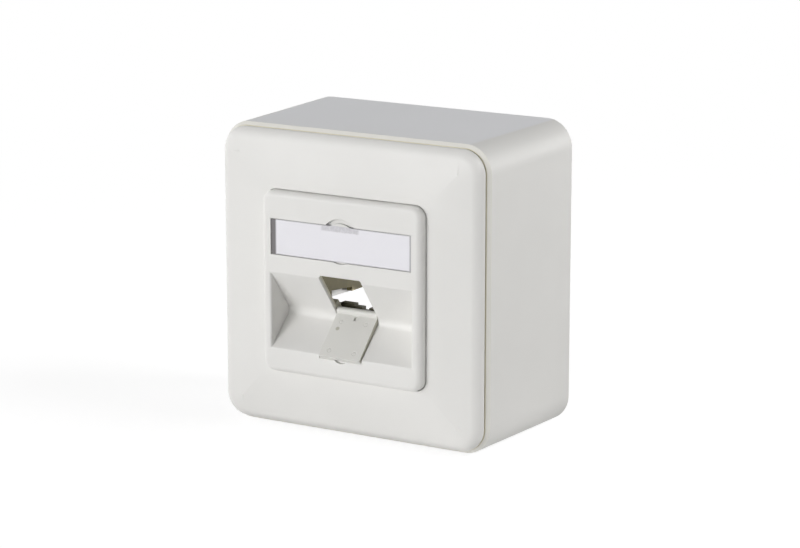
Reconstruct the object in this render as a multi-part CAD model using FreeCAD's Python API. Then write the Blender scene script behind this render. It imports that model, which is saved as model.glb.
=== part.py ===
"""Surface mount outlet box for one modular jack, white plastic, with no jack fitted.

Frame: millimetres, origin at the centre of the wall face, +X to the right of someone
facing the outlet, +Z up, front towards -Y.  "depth" means the distance from the wall,
so a point at depth d has y = -d.
"""
import FreeCAD, Part
import math
import os

# ---------------------------------------------------------------- driving dimensions
# cover frame and housing
FRAME_WIDTH = 80.0            # square cover frame, outside
CORNER_RADIUS = 6.5           # corners of the cover frame
HOUSING_DEPTH = 43.1          # wall face to the rim
HOUSING_DRAFT = 0.7           # each side is this much further out at the wall than at the rim
RIM_STEP = 1.0                # box outside the cover frame, eased off at the rim
HOUSING_WALL = 2.0
REAR_WALL = 2.0
SEAM_GAP = 0.5                # shadow line between rim and cover frame
FRAME_DEPTH = 3.8             # rear edge of the cover frame to its face beside the plate
FRAME_WALL = 1.8
FRAME_FACE_RADIUS = 73.0      # the face falls away from the plate along this arc
FRAME_EDGE_RADIUS = 2.8
TONGUE_WALL = 1.2             # tongue of the cover frame inside the rim
TONGUE_LENGTH = 2.4
COLLAR_WALL = 1.2             # of the collar round the aperture, down to the support frame
FIT = 0.15                    # clearance round parts that drop into each other

# rear wall: cable opening, wall slots, knock-outs
REAR_OPENING_WIDTH = 72.0
REAR_OPENING_HEIGHT = 52.0
REAR_OPENING_RADIUS = 5.0
SLOT_SPACING_X = 40.0
SLOT_SPACING_Z = 64.0
SLOT_WIDTH = 4.5
SLOT_LENGTH = 9.0
KNOCKOUT_WIDTH = 20.0
KNOCKOUT_DEPTH = 14.0
KNOCKOUT_FROM_WALL = 2.0
KNOCKOUT_SCORE = 1.0          # width of the scored line
KNOCKOUT_SKIN = 0.7           # plastic left under the scored line

# device screws, on posts joined to the side walls
DEVICE_SPACING = 60.0
POST_HALF = 4.0               # half width of the square screw posts
POST_LENGTH = 30.0
POST_RIB = 1.8
INSERT_HALF = 2.5             # half width over the flats of the six-sided inserts
DEVICE_SCREW_RADIUS = 1.6
DEVICE_HEAD_RADIUS = 3.4
DEVICE_HEAD_HEIGHT = 1.6
DEVICE_SCREW_LENGTH = 12.0
INSERT_SPARE = 1.0            # inserts reach this much past the screws

# support frame
SUPPORT_WIDTH = 70.0
SUPPORT_THICKNESS = 1.6
SUPPORT_CHAMFER = 9.0
SUPPORT_RIB = 1.4             # height and width of the stiffening bead on its back
SUPPORT_RIB_INSET = 3.0
OPENING_GAP = 0.5             # beside the recess box
OPENING_ABOVE = 3.2
OPENING_BELOW = 2.6
WINDOW_WIDTH = 8.0            # lightening windows near the corners
WINDOW_HEIGHT = 3.2
WINDOW_INSET = 5.0
DEVICE_SLOT_LENGTH = 8.0

# centre plate
PLATE_WIDTH = 49.2
PLATE_CORNER_RADIUS = 3.2
PLATE_EDGE_RADIUS = 1.5
PLATE_PROUD = 2.7             # plate face in front of the frame face
PLATE_WALL = 1.5
SEAT_DEPTH = 1.0              # rebate in the frame that the plate's rim sits in
SEAT_WIDTH = 1.25

# sloped recess in the centre plate
PLATE_MARGIN = 2.9            # beside the recess and the label
RECESS_TOP = 2.6              # z of the upper edge, in the plate's face
RECESS_BOTTOM = -18.1         # z of the lip
VALLEY_DEPTH = 9.2            # of the sharp corner, behind the plate's face
VALLEY_HEIGHT = -9.4          # its z
VALLEY_RADIUS = 2.2
LIP_RADIUS = 0.7
SLOPE_WALL = 1.3
RECESS_WALL = 1.2

# port and dust flap
PORT_WIDTH = 13.2
PORT_CORNER_RADIUS = 0.8
PORT_RISE = 0.6              # how far the port passes the upper edge of the slope
FLAP_GAP = 0.2                # between the flap's edges and the port
FLAP_THICKNESS = 1.1
HINGE_RADIUS = 1.0            # barrel on the flap
HINGE_FROM_VALLEY = 1.27      # barrel axis to the valley corner, along the upper slope
HINGE_EAR = 2.2               # width of each ear beside the port
EAR_HALF = 2.0                # half its length along the slope
EAR_WALL = 1.5                # behind the pin
PIN_INSET = 0.5               # solid end of an ear
PIN_END_GAP = 0.1
PIN_RADIUS = 0.5
PIN_CLEARANCE = 0.04
FLAP_REST_GAP = 0.12          # between the open flap and its bed in the lip
FLAP_BED_DEPTH = 0.8          # how far the lip is cut down under the open flap
FLAP_CORNER_RADIUS = 0.45
FLAP_SLOT_WIDTH = 1.0         # shallow slot in its inner face, by the barrel
FLAP_SLOT_LENGTH = 1.2
FLAP_SLOT_FROM = 1.4
FLAP_SLOT_DEPTH = 0.5

# label pocket, card and clear cover
LABEL_HEIGHT = 9.7
LABEL_CENTRE = 12.35
POCKET_DEPTH = 3.1
POCKET_FLOOR = 1.4
CARD_THICKNESS = 0.25
COVER_WALL = 1.0
COVER_RIM = 1.0
COVER_RECESS = 0.1            # cover face behind the plate's face
COVER_TAB_RISE = 0.85
COVER_TAB_GAP = 0.05          # tab to the floor of the thumb notch
NOTCH_RADIUS = 6.0
NOTCH_RISE = 1.9              # thumb notch above the window
NOTCH_DEPTH = 0.9
LIP_NOTCH_RADIUS = 2.8
LIP_NOTCH_DROP = 1.7
PLATE_SCREW_SPACING = 34.0
PLATE_SCREW_RADIUS = 1.5
PLATE_HEAD_RADIUS = 2.7
PLATE_HEAD_HEIGHT = 1.6
PLATE_SCREW_LENGTH = 9.0
PLATE_BOSS_HALF = 3.9         # half width of the square bosses behind the pocket
SCREW_CLEARANCE = 0.2
BORE_SPARE = 1.0              # bores run this much past their screws

# module holder
CHEEK_THICKNESS = 1.6
BAY_WIDTH = 24.0              # between the cheeks
CHEEK_REACH = 22.0            # how far the cheeks run back from the support frame
CHEEK_TOP = 8.0
CHEEK_BOTTOM = -4.3
HOOK_LENGTH = 5.7
HOOK_DROP = 2.1
HOOK_FLARE = 0.9
CHEEK_STEP = 0.5
CHEEK_LEAN = 1.4              # front edge of a cheek, from the support frame back to its waist
CHEEK_WAIST = -1.5            # z of the waist
CHEEK_KNEE = -5.0             # z where the front edge meets the bar
CHEEK_CORNER = 3.0
CHEEK_SHOULDER = 6.0
BAR_DEPTH = 12.0              # rear face of the seat bar, behind the frame's face
BAR_THICKNESS = 2.0
BAR_BOTTOM = -12.0
SEAT_NOTCH_TOP = -8.0         # z of the middle of the bar
SEAT_STEP_TOP = -7.1
SEAT_BLOCK_TOP = -6.5
SEAT_NOTCH_HALF = 1.1
SEAT_BLOCK_FROM = 3.5
SEAT_BLOCK_TO = 7.7
HOLDER_FLANGE_HEIGHT = 8.0
HOLDER_FLANGE_THICKNESS = 1.8
HOLDER_SCREW_SPACING = 18.0
ARM_THICKNESS = 1.4           # guide arms of the centre plate, outside the cheeks
ARM_GAP = 0.3                 # to the cheek
ARM_BOTTOM = -6.3
ARM_TAPER = 0.7               # how much lower the arm is at its tip
ARM_LEAD = 2.0                # cut corner at the tip
ARM_TOP = 1.5
ARM_REACH = 25.0              # behind the frame's face

# earth terminal, on the back of the support frame
EARTH_X = 27.5
EARTH_Z = -25.5
EARTH_BOSS_HALF = 4.5
EARTH_BOSS_HEIGHT = 5.0
EARTH_SCREW_RADIUS = 2.0
EARTH_HEAD_RADIUS = 3.3
EARTH_HEAD_HEIGHT = 2.4
EARTH_SCREW_LENGTH = 7.0
EARTH_PLATE_SIDE = 8.0
EARTH_PLATE_THICKNESS = 1.0
EARTH_LIP = 0.9               # turned edges of the terminal washer
TAB_WIDTH = 6.3
TAB_LENGTH = 9.0
TAB_THICKNESS = 0.8
TAB_CORNER = 1.6

# cable clamp, on two posts on the rear wall
CLAMP_SPACING = 26.0
CLAMP_Z = -32.0
CLAMP_POST_HALF = 3.0
CLAMP_POST_HEIGHT = 9.0
CLAMP_WIDTH = 7.4
CLAMP_THICKNESS = 2.6
CLAMP_RIDGE = 1.0
CLAMP_RIDGE_HALF = 0.8
CLAMP_RIDGE_PITCH = 2.2
CLAMP_POST_GAP = 0.5
CLAMP_SCREW_RADIUS = 1.4
CLAMP_HEAD_RADIUS = 2.6
CLAMP_HEAD_HEIGHT = 1.6
CLAMP_SCREW_LENGTH = 9.0

# ---------------------------------------------------------------- depths that follow
SUPPORT_BACK = HOUSING_DEPTH - SUPPORT_THICKNESS
INSERT_BACK = HOUSING_DEPTH - DEVICE_SCREW_LENGTH - INSERT_SPARE
FRAME_BACK = HOUSING_DEPTH + SEAM_GAP
FRAME_FRONT = FRAME_BACK + FRAME_DEPTH
PLATE_FRONT = FRAME_FRONT + PLATE_PROUD
SEAT = FRAME_FRONT - SEAT_DEPTH
RECESS_WIDTH = PLATE_WIDTH - 2 * PLATE_MARGIN
LABEL_WIDTH = RECESS_WIDTH
POCKET = PLATE_FRONT - POCKET_DEPTH
EPS = 0.01                    # overlap that joins solids, and tests of place
BIG = 200.0

# sloped recess: a is measured down the upper slope from its upper edge, b behind it
SLOPE_LENGTH = math.hypot(VALLEY_DEPTH, RECESS_TOP - VALLEY_HEIGHT)
SLOPE_TILT = math.degrees(math.atan2(RECESS_TOP - VALLEY_HEIGHT, VALLEY_DEPTH))
HINGE_A = SLOPE_LENGTH - HINGE_FROM_VALLEY
HINGE_B = HINGE_RADIUS
FLAP_LENGTH = HINGE_A + PORT_RISE - FLAP_GAP / 2
FLAP_WIDTH = PORT_WIDTH - 2 * FLAP_GAP


def point(x, depth, z):
    return FreeCAD.Vector(x, -depth, z)


def block(x0, x1, d0, d1, z0, z1):
    """Box between two values of x, of depth and of z."""
    return Part.makeBox(x1 - x0, d1 - d0, z1 - z0, point(x0, d1, z0))


def post(x, z, radius, d0, d1):
    """Cylinder along the depth."""
    return Part.makeCylinder(radius, d1 - d0, point(x, d0, z), FreeCAD.Vector(0, -1, 0))


def square_post(x, z, half, d0, d1):
    return block(x - half, x + half, d0, d1, z - half, z + half)


def hex_post(x, half, d0, d1):
    """Six-sided bar at z = 0; `half` is half its width over the flats."""
    radius = half / math.cos(math.pi / 6)
    corners = [point(x + radius * math.cos(i * math.pi / 3), d0,
                     radius * math.sin(i * math.pi / 3)) for i in range(6)]
    return Part.Face(Part.makePolygon(corners + corners[:1])).extrude(
        FreeCAD.Vector(0, d0 - d1, 0))


def rounded_wire(half_x, half_z, radius, depth, mid_z=0.0):
    """Rectangle with round corners, in a plane parallel to the wall."""
    corners = []
    for sx, sz, start in ((1, 1, 0), (-1, 1, 90), (-1, -1, 180), (1, -1, 270)):
        cx = sx * (half_x - radius)
        cz = mid_z + sz * (half_z - radius)
        arc = []
        for turn in (0, 45, 90):
            angle = math.radians(start + turn)
            arc.append(point(cx + radius * math.cos(angle), depth, cz + radius * math.sin(angle)))
        corners.append(arc)
    edges = []
    for i, arc in enumerate(corners):
        edges.append(Part.Arc(*arc).toShape())
        edges.append(Part.makeLine(arc[2], corners[(i + 1) % 4][0]))
    return Part.Wire(edges)


def slab(half_x, half_z, radius, d0, d1, mid_z=0.0):
    """Straight plate with round corners between two depths."""
    face = Part.Face(rounded_wire(half_x, half_z, radius, d0, mid_z))
    return face.extrude(FreeCAD.Vector(0, d0 - d1, 0))


def profile(points, x0, x1):
    """Prism along X from a closed outline of (depth, z) points."""
    outline = [point(x0, d, z) for d, z in points]
    face = Part.Face(Part.makePolygon(outline + outline[:1]))
    return face.extrude(FreeCAD.Vector(x1 - x0, 0, 0))


def fillet_where(shape, radius, test):
    """Round every edge whose middle point passes the test."""
    edges = []
    for edge in shape.Edges:
        mid = edge.valueAt((edge.FirstParameter + edge.LastParameter) / 2)
        if test(edge, mid):
            edges.append(edge)
    return shape.makeFillet(radius, edges)


def on_slope(shape):
    """Move a shape made as (x, a, b) onto the upper slope."""
    shape.rotate(FreeCAD.Vector(0, 0, 0), FreeCAD.Vector(1, 0, 0), -SLOPE_TILT)
    shape.translate(point(0, PLATE_FRONT, RECESS_TOP))
    return shape


def hinge_axis():
    """Depth and z of the flap's hinge axis."""
    spot = on_slope(Part.Vertex(0, HINGE_A, HINGE_B)).Point
    return -spot.y, spot.z


def open_tilt():
    """Angle of the open flap below the horizontal, where it lies in its bed in the lip."""
    depth, z = hinge_axis()
    run = PLATE_FRONT - depth
    drop = z - RECESS_BOTTOM
    rise = HINGE_RADIUS + FLAP_REST_GAP - FLAP_BED_DEPTH
    lean = math.asin(rise / math.hypot(run, drop))
    return math.degrees(math.atan2(drop, run) - lean)


def opened(shape):
    """Move a shape made about the X axis, lying forward, to where the open flap lies."""
    shape.rotate(FreeCAD.Vector(0, 0, 0), FreeCAD.Vector(1, 0, 0), open_tilt())
    depth, z = hinge_axis()
    shape.translate(point(0, depth, z))
    return shape


def half_at(depth):
    """Half width of the housing's outside at a depth."""
    return FRAME_WIDTH / 2 + RIM_STEP + HOUSING_DRAFT * (1 - depth / HOUSING_DEPTH)


def tapered(d0, d1, inset, radius):
    """Block that follows the housing's draft, with its four long edges rounded."""
    near = half_at(d0) - inset
    far = half_at(d1) - inset
    wedge = profile([(d0, -near), (d0, near), (d1, far), (d1, -far)], -near, near)
    turned = wedge.copy()
    turned.rotate(FreeCAD.Vector(0, 0, 0), FreeCAD.Vector(0, 1, 0), 90)
    middle = -(d0 + d1) / 2
    return fillet_where(wedge.common(turned), radius, lambda e, m: abs(m.y - middle) < EPS)


# ---------------------------------------------------------------- housing
def housing():
    corner = CORNER_RADIUS + RIM_STEP
    outer = tapered(0, HOUSING_DEPTH, 0, corner)
    rim = [edge for edge in outer.Edges if abs(edge.CenterOfMass.y + HOUSING_DEPTH) < EPS]
    outer = outer.makeChamfer(RIM_STEP, rim)
    cavity = tapered(REAR_WALL, HOUSING_DEPTH + EPS, HOUSING_WALL, corner - HOUSING_WALL)
    body = outer.cut(cavity)
    body = body.cut(slab(REAR_OPENING_WIDTH / 2, REAR_OPENING_HEIGHT / 2, REAR_OPENING_RADIUS,
                         -1.0, REAR_WALL + 1.0))
    extra = []
    for side in (-1, 1):
        extra.append(device_post(side))
        extra.append(square_post(side * CLAMP_SPACING / 2, CLAMP_Z, CLAMP_POST_HALF,
                                 REAR_WALL - EPS, REAR_WALL + CLAMP_POST_HEIGHT))
    body = body.fuse(extra).removeSplitter()
    cuts = []
    for side in (-1, 1):
        x = side * DEVICE_SPACING / 2
        cuts.append(hex_post(x, INSERT_HALF, INSERT_BACK, HOUSING_DEPTH))
        cuts.append(post(side * CLAMP_SPACING / 2, CLAMP_Z, CLAMP_SCREW_RADIUS + FIT,
                         REAR_WALL + BORE_SPARE, REAR_WALL + CLAMP_POST_HEIGHT + EPS))
        for row in (-1, 1):
            cuts.append(slab(SLOT_LENGTH / 2, SLOT_WIDTH / 2, SLOT_WIDTH / 2 - EPS, -1, REAR_WALL + 1)
                        .translated(point(side * SLOT_SPACING_X / 2, 0, row * SLOT_SPACING_Z / 2)))
        cuts.append(knockout(side))
    return body.cut(cuts)


def device_post(side):
    """Screw post joined to the side wall by a rib that ends under the frame's tongue."""
    x = side * DEVICE_SPACING / 2
    foot = SUPPORT_BACK - POST_LENGTH
    wall = side * (half_at(SUPPORT_BACK) - HOUSING_WALL / 2)
    column = square_post(x, 0, POST_HALF, foot, SUPPORT_BACK)
    rib_top = HOUSING_DEPTH - TONGUE_LENGTH - 2 * FIT
    rib = block(min(x, wall), max(x, wall), foot, rib_top, -POST_RIB, POST_RIB)
    return column.fuse(rib)


def knockout(side):
    """Scored outline on the inside of the bottom or top wall, for a cable from a duct."""
    low = REAR_WALL + KNOCKOUT_FROM_WALL
    ring = block(-KNOCKOUT_WIDTH / 2, KNOCKOUT_WIDTH / 2, low, low + KNOCKOUT_DEPTH, 0, BIG)
    core = block(-KNOCKOUT_WIDTH / 2 + KNOCKOUT_SCORE, KNOCKOUT_WIDTH / 2 - KNOCKOUT_SCORE,
                 low + KNOCKOUT_SCORE, low + KNOCKOUT_DEPTH - KNOCKOUT_SCORE, 0, BIG)
    skin_half = half_at(low + KNOCKOUT_DEPTH) - KNOCKOUT_SKIN
    band = block(-BIG, BIG, 0, HOUSING_DEPTH, skin_half - HOUSING_WALL, skin_half)
    score = ring.cut(core).common(band)
    if side < 0:
        score = score.mirror(FreeCAD.Vector(0, 0, 0), FreeCAD.Vector(0, 0, 1))
    return score


def boss_inserts():
    """Threaded brass inserts in the two device posts."""
    inserts = []
    for side in (-1, 1):
        x = side * DEVICE_SPACING / 2
        body = hex_post(x, INSERT_HALF - EPS, INSERT_BACK, SUPPORT_BACK)
        inserts.append(body.cut(post(x, 0, DEVICE_SCREW_RADIUS + EPS, 0, PLATE_FRONT)))
    return Part.makeCompound(inserts)


# ---------------------------------------------------------------- screws
def pan_screw(x, z, radius, head_radius, head_height, length, seat, forward=True):
    """Screw whose head sits on the depth `seat`, plain but for its shoulder."""
    shank = post(x, z, radius, seat - length, seat)
    screw = shank.fuse(post(x, z, head_radius, seat, seat + head_height))
    if not forward:
        screw.rotate(point(x, seat, z), FreeCAD.Vector(0, 0, 1), 180)
    return screw


def support_frame_screws():
    return Part.makeCompound([
        pan_screw(side * DEVICE_SPACING / 2, 0, DEVICE_SCREW_RADIUS - EPS, DEVICE_HEAD_RADIUS,
                  DEVICE_HEAD_HEIGHT, DEVICE_SCREW_LENGTH, HOUSING_DEPTH) for side in (-1, 1)])


def centre_plate_screws():
    return Part.makeCompound([
        pan_screw(side * PLATE_SCREW_SPACING / 2, LABEL_CENTRE, PLATE_SCREW_RADIUS - EPS,
                  PLATE_HEAD_RADIUS, PLATE_HEAD_HEIGHT, PLATE_SCREW_LENGTH, plate_screw_seat())
        for side in (-1, 1)])


def plate_screw_seat():
    return POCKET - PLATE_HEAD_HEIGHT - FIT


def module_holder_screws():
    seat = SUPPORT_BACK - HOLDER_FLANGE_THICKNESS
    return Part.makeCompound([
        pan_screw(side * HOLDER_SCREW_SPACING / 2, holder_screw_z(), PLATE_SCREW_RADIUS - EPS,
                  PLATE_HEAD_RADIUS, PLATE_HEAD_HEIGHT,
                  HOLDER_FLANGE_THICKNESS + SUPPORT_THICKNESS, seat, forward=False)
        for side in (-1, 1)])


def cable_clamp_screws():
    seat = REAR_WALL + CLAMP_POST_HEIGHT + CLAMP_THICKNESS
    return Part.makeCompound([
        pan_screw(side * CLAMP_SPACING / 2, CLAMP_Z, CLAMP_SCREW_RADIUS, CLAMP_HEAD_RADIUS,
                  CLAMP_HEAD_HEIGHT, CLAMP_SCREW_LENGTH, seat) for side in (-1, 1)])


def earth_seat():
    """Depth of the face of the earth boss, on the back of the support frame."""
    return SUPPORT_BACK - EARTH_BOSS_HEIGHT


def earth_screw():
    return pan_screw(EARTH_X, EARTH_Z, EARTH_SCREW_RADIUS - EPS, EARTH_HEAD_RADIUS,
                     EARTH_HEAD_HEIGHT, EARTH_SCREW_LENGTH,
                     earth_seat() - TAB_THICKNESS - EARTH_PLATE_THICKNESS, forward=False)


def earth_clamp():
    """Square terminal washer with two turned edges that keep the wire in."""
    half = EARTH_PLATE_SIDE / 2
    top = earth_seat() - TAB_THICKNESS
    plate = block(EARTH_X - half, EARTH_X + half, top - EARTH_PLATE_THICKNESS, top,
                  EARTH_Z - half, EARTH_Z + half)
    lips = [block(EARTH_X + side * half - EARTH_LIP / 2, EARTH_X + side * half + EARTH_LIP / 2,
                  top - EARTH_PLATE_THICKNESS - EARTH_LIP, top, EARTH_Z - half, EARTH_Z + half)
            for side in (-1, 1)]
    hole = post(EARTH_X, EARTH_Z, EARTH_SCREW_RADIUS + FIT, 0, PLATE_FRONT)
    return plate.fuse(lips).removeSplitter().cut(hole)


def earth_tab():
    """Flat push-on blade held under the terminal washer, with its end corners cut."""
    seat = earth_seat()
    half = TAB_WIDTH / 2
    start = EARTH_Z - EARTH_BOSS_HALF
    end = EARTH_Z + EARTH_BOSS_HALF + TAB_LENGTH
    corners = [(-half, start), (half, start), (half, end - TAB_CORNER), (half - TAB_CORNER, end),
               (TAB_CORNER - half, end), (-half, end - TAB_CORNER)]
    outline = [point(EARTH_X + x, seat, z) for x, z in corners]
    blade = Part.Face(Part.makePolygon(outline + outline[:1])).extrude(
        FreeCAD.Vector(0, TAB_THICKNESS, 0))
    return blade.cut(post(EARTH_X, EARTH_Z, EARTH_SCREW_RADIUS + FIT, 0, PLATE_FRONT))


# ---------------------------------------------------------------- cable clamp
def cable_clamp():
    """Bar across the two clamp posts, with ridges that bite the cable's sheath."""
    seat = REAR_WALL + CLAMP_POST_HEIGHT
    half = CLAMP_SPACING / 2 + CLAMP_WIDTH / 2
    bar = block(-half, half, seat, seat + CLAMP_THICKNESS, CLAMP_Z - CLAMP_WIDTH / 2,
                CLAMP_Z + CLAMP_WIDTH / 2)
    inner = CLAMP_SPACING / 2 - CLAMP_POST_HALF - CLAMP_POST_GAP
    ridges = []
    for row in (-1, 0, 1):
        z = CLAMP_Z + row * CLAMP_RIDGE_PITCH
        ridges.append(profile([(seat + EPS, z - CLAMP_RIDGE_HALF), (seat + EPS, z + CLAMP_RIDGE_HALF),
                               (seat - CLAMP_RIDGE, z)], -inner, inner))
    bar = bar.fuse(ridges).removeSplitter()
    holes = [post(side * CLAMP_SPACING / 2, CLAMP_Z, CLAMP_SCREW_RADIUS + FIT, 0, PLATE_FRONT)
             for side in (-1, 1)]
    return bar.cut(holes)


# ---------------------------------------------------------------- support frame
def support_frame():
    half = SUPPORT_WIDTH / 2
    cut = SUPPORT_CHAMFER
    corners = [(half, half - cut), (half - cut, half), (cut - half, half), (-half, half - cut),
               (-half, cut - half), (cut - half, -half), (half - cut, -half), (half, cut - half)]
    outline = [point(x, SUPPORT_BACK, z) for x, z in corners]
    plate = Part.Face(Part.makePolygon(outline + outline[:1])).extrude(
        FreeCAD.Vector(0, -SUPPORT_THICKNESS, 0))
    add = []
    bead = half - SUPPORT_RIB_INSET
    for side in (-1, 1):
        add.append(block(-bead + cut, bead - cut, SUPPORT_BACK - SUPPORT_RIB, SUPPORT_BACK + EPS,
                         side * bead - SUPPORT_RIB / 2, side * bead + SUPPORT_RIB / 2))
    add.append(square_post(EARTH_X, EARTH_Z, EARTH_BOSS_HALF, earth_seat(), SUPPORT_BACK + EPS))
    plate = plate.fuse(add).removeSplitter()
    behind = SUPPORT_BACK - SUPPORT_THICKNESS
    ahead = HOUSING_DEPTH + SUPPORT_THICKNESS
    gap = recess_half() + OPENING_GAP
    cuts = [block(-gap, gap, behind, ahead, opening_bottom(), opening_top())]
    screw_hole = DEVICE_SCREW_RADIUS + SCREW_CLEARANCE
    for side in (-1, 1):
        x = side * DEVICE_SPACING / 2
        cuts.append(block(x - screw_hole, x + screw_hole, behind, ahead,
                          -DEVICE_SLOT_LENGTH / 2, DEVICE_SLOT_LENGTH / 2))
        cuts.append(post(side * PLATE_SCREW_SPACING / 2, LABEL_CENTRE, PLATE_SCREW_RADIUS,
                         0, PLATE_FRONT))
        cuts.append(post(side * HOLDER_SCREW_SPACING / 2, holder_screw_z(), PLATE_SCREW_RADIUS,
                         0, PLATE_FRONT))
        for row in (-1, 1):
            x = side * (half - cut - WINDOW_INSET)
            z = row * (bead - WINDOW_INSET)
            cuts.append(block(x - WINDOW_WIDTH / 2, x + WINDOW_WIDTH / 2, behind, ahead,
                              z - WINDOW_HEIGHT / 2, z + WINDOW_HEIGHT / 2))
    cuts.append(post(EARTH_X, EARTH_Z, EARTH_SCREW_RADIUS, 0, PLATE_FRONT))
    return plate.cut(cuts)


def recess_half():
    """Half width of the outside of the recess box behind the centre plate."""
    return RECESS_WIDTH / 2 + RECESS_WALL


def opening_top():
    return RECESS_TOP + OPENING_ABOVE


def opening_bottom():
    return RECESS_BOTTOM - OPENING_BELOW


# ---------------------------------------------------------------- module holder
def holder_screw_z():
    return opening_top() + HOLDER_FLANGE_HEIGHT / 2


def module_holder():
    inner = BAY_WIDTH / 2
    outer = inner + CHEEK_THICKNESS
    back = SUPPORT_BACK - CHEEK_REACH
    front = SUPPORT_BACK
    bar_back = FRAME_FRONT - BAR_DEPTH
    bar_front = bar_back + BAR_THICKNESS
    flange_top = opening_top() + HOLDER_FLANGE_HEIGHT
    parts = [block(-outer, outer, front - HOLDER_FLANGE_THICKNESS, front, opening_top(), flange_top)]
    hook = back + HOOK_LENGTH
    tip = CHEEK_BOTTOM - HOOK_DROP
    foot = opening_top() - CHEEK_STEP
    outline = [(front, flange_top), (front, foot), (front - CHEEK_STEP, foot),
               (front - CHEEK_LEAN, CHEEK_WAIST), (bar_front, CHEEK_KNEE), (bar_front, BAR_BOTTOM),
               (bar_back, BAR_BOTTOM), (bar_back, CHEEK_BOTTOM), (hook, CHEEK_BOTTOM - HOOK_FLARE),
               (hook, tip), (back, tip), (back, CHEEK_TOP - CHEEK_CORNER),
               (back + CHEEK_CORNER, CHEEK_TOP), (front - CHEEK_SHOULDER, CHEEK_TOP),
               (front - HOLDER_FLANGE_THICKNESS, flange_top)]
    for side in (-1, 1):
        parts.append(profile(outline, min(side * inner, side * outer), max(side * inner, side * outer)))
    levels = [(0, SEAT_NOTCH_HALF, SEAT_NOTCH_TOP), (SEAT_NOTCH_HALF, SEAT_BLOCK_FROM, SEAT_STEP_TOP),
              (SEAT_BLOCK_FROM, SEAT_BLOCK_TO, SEAT_BLOCK_TOP), (SEAT_BLOCK_TO, inner, SEAT_STEP_TOP)]
    for start, end, top in levels:
        for side in (-1, 1):
            low, high = sorted((side * start, side * end))
            parts.append(block(low - EPS, high + EPS, bar_back, bar_front, BAR_BOTTOM, top))
    holder = parts[0].fuse(parts[1:]).removeSplitter()
    holes = [post(side * HOLDER_SCREW_SPACING / 2, holder_screw_z(), PLATE_SCREW_RADIUS + FIT,
                  0, PLATE_FRONT) for side in (-1, 1)]
    return holder.cut(holes)


# ---------------------------------------------------------------- cover frame
def face_slope():
    """Angle at which the cover frame's face leaves its arc and runs straight to its edge."""
    core = FRAME_WIDTH / 2 - CORNER_RADIUS
    return math.asin((core - PLATE_WIDTH / 2) / FRAME_FACE_RADIUS)


def face_depth(distance):
    """Depth of the cover frame's face at a distance from the middle: an arc from the plate
    to where the corners start, then straight on."""
    core = FRAME_WIDTH / 2 - CORNER_RADIUS
    run = min(max(distance, PLATE_WIDTH / 2), core) - PLATE_WIDTH / 2
    arc = FRAME_FRONT - FRAME_FACE_RADIUS + math.sqrt(FRAME_FACE_RADIUS ** 2 - run ** 2)
    return arc - math.tan(face_slope()) * max(0.0, distance - core)


def limb_section():
    """Section of the cover frame from where its corners start out to its edge, at z = 0."""
    half = FRAME_WIDTH / 2
    core = half - CORNER_RADIUS
    turn = half - FRAME_EDGE_RADIUS
    centre = face_depth(turn) - FRAME_EDGE_RADIUS / math.cos(face_slope())
    low = math.asin(max(0.0, FRAME_BACK - centre) / FRAME_EDGE_RADIUS)
    high = math.pi / 2 - face_slope()
    bend = [point(turn + FRAME_EDGE_RADIUS * math.cos(angle),
                  centre + FRAME_EDGE_RADIUS * math.sin(angle), 0)
            for angle in (low, (low + high) / 2, high)]
    line = [bend[2], point(core, face_depth(core), 0), point(core, FRAME_BACK, 0),
            point(bend[0].x, FRAME_BACK, 0)]
    if centre > FRAME_BACK:
        line.append(bend[0])
    edges = [Part.makeLine(line[i], line[i + 1]) for i in range(len(line) - 1)]
    return Part.Face(Part.Wire(edges + [Part.Arc(*bend).toShape()]))


def frame_outside():
    """Outside of the cover frame: four limbs with a convex section, carried round the corners
    by turning the section, over a middle where the limbs' faces meet in mitres."""
    core = FRAME_WIDTH / 2 - CORNER_RADIUS
    middle = PLATE_WIDTH / 2
    halfway = (core + middle) / 2
    arcs = []
    for side in (1, -1):
        arcs.append(Part.Arc(point(side * core, face_depth(core), 0),
                             point(side * halfway, face_depth(halfway), 0),
                             point(side * middle, FRAME_FRONT, 0)).toShape())
    roof = [point(middle, FRAME_FRONT, 0), point(-middle, FRAME_FRONT, 0)]
    ends = [point(-core, face_depth(core), 0), point(-core, FRAME_BACK, 0),
            point(core, FRAME_BACK, 0), point(core, face_depth(core), 0)]
    lines = [Part.makeLine(*roof)] + [Part.makeLine(ends[i], ends[i + 1]) for i in range(3)]
    section = Part.Face(Part.Wire(Part.__sortEdges__(arcs + lines)))
    along = section.translated(FreeCAD.Vector(0, 0, -core)).extrude(FreeCAD.Vector(0, 0, 2 * core))
    across = along.copy()
    across.rotate(FreeCAD.Vector(0, 0, 0), FreeCAD.Vector(0, 1, 0), 90)
    pieces = []
    limb = limb_section()
    straight = limb.translated(FreeCAD.Vector(0, 0, -core)).extrude(FreeCAD.Vector(0, 0, 2 * core))
    turned = limb.translated(FreeCAD.Vector(0, 0, core)).revolve(
        FreeCAD.Vector(core, 0, core), FreeCAD.Vector(0, -1, 0), 90)
    for quarter in range(4):
        for piece in (straight, turned):
            copy = piece.copy()
            copy.rotate(FreeCAD.Vector(0, 0, 0), FreeCAD.Vector(0, 1, 0), 90 * quarter)
            pieces.append(copy)
    return along.common(across).fuse(pieces).removeSplitter()


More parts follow.
